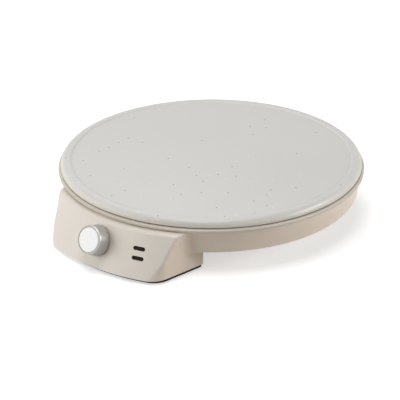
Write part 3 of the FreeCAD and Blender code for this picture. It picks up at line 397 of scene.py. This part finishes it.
def spun_metal(name, side_colour, edge_colour, edge_starts, edge_ends):
    paint = Paint(name)
    reach = paint.along(knob_point, knob_outward)
    edge = paint.step(reach, edge_starts, edge_ends)
    rings = paint.rings(reach, side_rings)
    brushed = paint.blend(rings * 0.10, paint.blend(edge, side_colour, edge_colour),
                          shade(side_colour, 0.8))
    roughness = side_roughness - edge * edge_smoother
    return paint.surface(Base_Color=brushed, Metallic=(1 - edge) * knob_metallic,
                         Roughness=wander(roughness, rings, amount=0.10),
                         Normal=paint.bump(rings, mark_depth, strength=0.4))


def disc_face(name, colour, rim_starts, rim_ends):
    paint = Paint(name)
    out = paint.away_from(knob_point, knob_outward)
    rings = paint.rings(out, disc_rings)
    turned = paint.blend(rings * 0.12, colour, shade(colour, 0.85))
    # Painted shade: a thin darker line at the disc's rim, where it meets the knob's edge.
    rim = paint.step(out, rim_starts, rim_ends)
    return paint.surface(Base_Color=paint.blend(rim, turned, shade(colour, 0.7)),
                         Roughness=disc_roughness + rings * 0.06, IOR=plastic_ior,
                         Normal=paint.bump(rings, depth=0.00001, strength=0.3))


print("knob turns about", [round(v, 4) for v in knob_point])

# %% [markdown]
# Rubber is dark and dull with a slightly dusty skin. Fired clay is chalky with small pits. A
# lamp's window is dark and smooth, and its colour lifts a little in soft patches, as the ribs
# behind a tinted window do.

# %% Rubber, fired clay and lamp windows
rubber_roughness = 0.72
dust_share = 0.35
clay_roughness = 0.8
pit_tone = 0.82
lens_roughness = 0.22
lens_ior = 1.5
rib_tone = 1.7


def rubber(name, colour, dust_colour):
    paint = Paint(name)
    dust = paint.patches(scale=120.0, low=0.45, high=0.75, detail=4.0)
    skin = paint.noise(scale=1500.0)
    return paint.surface(Base_Color=paint.blend(dust * dust_share, colour, dust_colour),
                         Roughness=rubber_roughness + dust * 0.12,
                         Normal=paint.bump(skin, depth=0.00005, strength=0.6))


def fired_clay(name, colour):
    paint = Paint(name)
    pits = paint.patches(scale=900.0, low=0.55, high=0.7, detail=4.0)
    return paint.surface(Base_Color=paint.blend(pits, colour, shade(colour, pit_tone)),
                         Roughness=clay_roughness + pits * 0.1,
                         Normal=paint.bump(1 - pits, depth=0.00006, strength=0.7))


def smoked_lens(name, colour, shine):
    paint = Paint(name)
    ribs = paint.patches(scale=260.0, low=0.35, high=0.65)
    return paint.surface(Base_Color=paint.blend(ribs, colour, shade(colour, rib_tone)),
                         Roughness=lens_roughness + ribs * 0.08, IOR=lens_ior,
                         Specular_IOR_Level=shine)


print("rubber, clay and lens finishes ready")

# %% [markdown]
# Each solid names a material slot in the record. One table gives each slot its finish, with
# its colour and how rough it is. Sleeved wire is moulded plastic too, and its colour follows
# the usual code for the three cores.

# %% One finish for each slot
black = rgb(0.006, 0.006, 0.006)
natural_nylon = rgb(0.72, 0.70, 0.64)
finish_table = {
    "shell_plastic": (moulded, dict(colour=beige, roughness=0.36, tones=housing_with_painted_shade)),
    "plate_coating": (speckled_coat, dict(colour=coat_grey, edge_colour=shaded_edge_grey)),
    "black_plastic": (moulded, dict(colour=black, roughness=0.5, grain=1800.0,
                                    depth=0.00005, shine=0.15)),
    "black_rubber": (rubber, dict(colour=rgb(0.012, 0.012, 0.012),
                                  dust_colour=rgb(0.06, 0.058, 0.055))),
    "knob_silver": (spun_metal, dict(side_colour=rgb(0.47, 0.455, 0.435),
                                     edge_colour=rgb(0.88, 0.87, 0.85),
                                     edge_starts=0.0114, edge_ends=0.0126)),
    "knob_face": (disc_face, dict(colour=rgb(0.87, 0.87, 0.85), rim_starts=0.0122,
                                  rim_ends=0.0126)),
    "lamp_lens": (smoked_lens, dict(colour=rgb(0.012, 0.007, 0.005), shine=0.15)),
    "lamp_glass": (smoked_lens, dict(colour=rgb(0.60, 0.24, 0.08), shine=0.5)),
    "element_steel": (metal, dict(colour=rgb(0.20, 0.19, 0.185), roughness=0.5, marks=900.0)),
    "bead_ceramic": (fired_clay, dict(colour=rgb(0.78, 0.76, 0.70))),
    "zinc_steel": (metal, dict(colour=rgb(0.60, 0.62, 0.65), roughness=0.32, marks=800.0)),
    "reflector_sheet": (metal, dict(colour=rgb(0.74, 0.75, 0.77), roughness=0.28,
                                    marks=300.0, stretch=(1.0, 14.0, 1.0))),
    "copper_tube": (metal, dict(colour=rgb(0.70, 0.38, 0.25), roughness=0.35)),
    "thermostat_case": (metal, dict(colour=rgb(0.52, 0.52, 0.50), roughness=0.38)),
    "holder_plastic": (moulded, dict(colour=natural_nylon, roughness=0.5)),
    "block_plastic": (moulded, dict(colour=natural_nylon, roughness=0.5)),
    "fuse_case": (fired_clay, dict(colour=rgb(0.82, 0.81, 0.76))),
    "tag_brass": (metal, dict(colour=rgb(0.66, 0.52, 0.27), roughness=0.35)),
    "wire_brown": (moulded, dict(colour=rgb(0.15, 0.07, 0.035), roughness=0.45, grain=1500.0)),
    "wire_blue": (moulded, dict(colour=rgb(0.03, 0.09, 0.32), roughness=0.45, grain=1500.0)),
    "wire_green": (moulded, dict(colour=rgb(0.12, 0.34, 0.05), roughness=0.45, grain=1500.0)),
    "wire_white": (moulded, dict(colour=rgb(0.72, 0.71, 0.67), roughness=0.55, grain=900.0,
                                 depth=0.0001)),
}
finishes = {slot: kind(slot + "_finish", **look) for slot, (kind, look) in finish_table.items()}
print("finishes made:", len(finishes))

# %% [markdown]
# A loop puts the finish of its slot on every solid. The meshes themselves are left as they are.

# %% Put a finish on every solid
for part in record["subparts"]:
    solid = nodes[part["node"]]
    if not solid.material_slots:
        solid.data.materials.append(None)
    for slot in solid.material_slots:
        slot.material = finishes[part["material_slot"]]
print("finishes on", len(record["subparts"]), "solids")

# %% [markdown]
# The table top is a plain pale sheet that ends far outside the picture. It has to look white
# to the camera and still catch the object's shadow, so it is a white matt surface plus a
# little glow that only the camera and mirror-like surfaces see. Far out, where the lamps don't
# reach, the glow grows to full white.

# %% Floor
floor_size = 14.0
floor_squares = 8
floor_drop = 0.0002
floor_white = rgb(0.74, 0.74, 0.74)
near_glow = 0.52
glow_starts = 0.5
glow_full = 2.0
white = rgb(1, 1, 1)


def show_rays(paint):
    """1 for what the camera sees, straight or in metal and glass, and 0 for plain light."""
    camera_ray, glossy_ray, glass_ray = (paint.node("ShaderNodeLightPath", output=name) for name in
                                         ("Is Camera Ray", "Is Glossy Ray", "Is Transmission Ray"))
    return paint.node("ShaderNodeMath", {"operation": "MINIMUM"},
                      {0: camera_ray + glossy_ray + glass_ray, 1: 1.0})


bpy.ops.mesh.primitive_grid_add(x_subdivisions=floor_squares, y_subdivisions=floor_squares,
                                size=floor_size, location=(0, 0, -floor_drop))
floor = bpy.context.object
floor.name = "floor"
floor_paint = Paint("floor_finish")
from_object = floor_paint.away_from((plate_middle.x, plate_middle.y, 0.0), (0.0, 0.0, 1.0))
far = floor_paint.step(from_object, glow_starts, glow_full)
strength = show_rays(floor_paint) * (near_glow + far * (1 - near_glow))
matt = floor_paint.node("ShaderNodeBsdfDiffuse", None, {"Color": floor_white})
glow = floor_paint.node("ShaderNodeEmission", None, {"Color": white, "Strength": strength})
sheet = floor_paint.node("ShaderNodeAddShader", None, {0: matt, 1: glow})
floor.data.materials.append(floor_paint.finish(sheet))
print("floor", floor_size, "m")

# %% [markdown]
# A very broad key light stands low to the front left, so the face is lit down to its foot, and
# one from above lights the plate. A third fills the far right and a weak one the back. Their
# level is set so that a colour renders about as it is written. The low key light isn't
# mirrored in the plate, where it would wash out the view from behind.

# %% Lights
lamp_distance = 1.7
lamps = {
    "key_light": dict(azimuth=-36.0, elevation=16.0, width=1.4, watts=20.0, mirrored=False),
    "top_light": dict(azimuth=10.0, elevation=78.0, width=1.2, watts=15.5, mirrored=True),
    "side_light": dict(azimuth=118.0, elevation=16.0, width=0.7, watts=15.0, mirrored=True),
    "back_light": dict(azimuth=-130.0, elevation=45.0, width=0.9, watts=4.0, mirrored=True),
}


def soft_light(name, azimuth, elevation, width, watts, mirrored):
    lamp = bpy.data.lights.new(name, "AREA")
    lamp.shape = "DISK"
    lamp.size = width
    lamp.energy = watts
    holder = bpy.data.objects.new(name, lamp)
    holder.visible_glossy = mirrored
    bpy.context.scene.collection.objects.link(holder)
    away = outward(azimuth, elevation)
    holder.location = aim + away * lamp_distance
    holder.rotation_mode = "QUATERNION"
    holder.rotation_quaternion = (-away).to_track_quat("-Z", "Y")


for name, how in lamps.items():
    soft_light(name, **how)
print("lights:", ", ".join(lamps))

# %% [markdown]
# The backdrop shows as plain white, but it gives only a trace of light of its own, so that the
# lamps alone shape the object.

# %% Backdrop
ambient = 0.03
world = bpy.data.worlds.new("studio")
bpy.context.scene.world = world
backdrop = Paint("studio", world)
strength = ambient + show_rays(backdrop) * (1.0 - ambient)
sky = backdrop.node("ShaderNodeBackground", None, {"Color": white, "Strength": strength})
backdrop.finish(sky, "ShaderNodeOutputWorld")
print("ambient level", ambient)
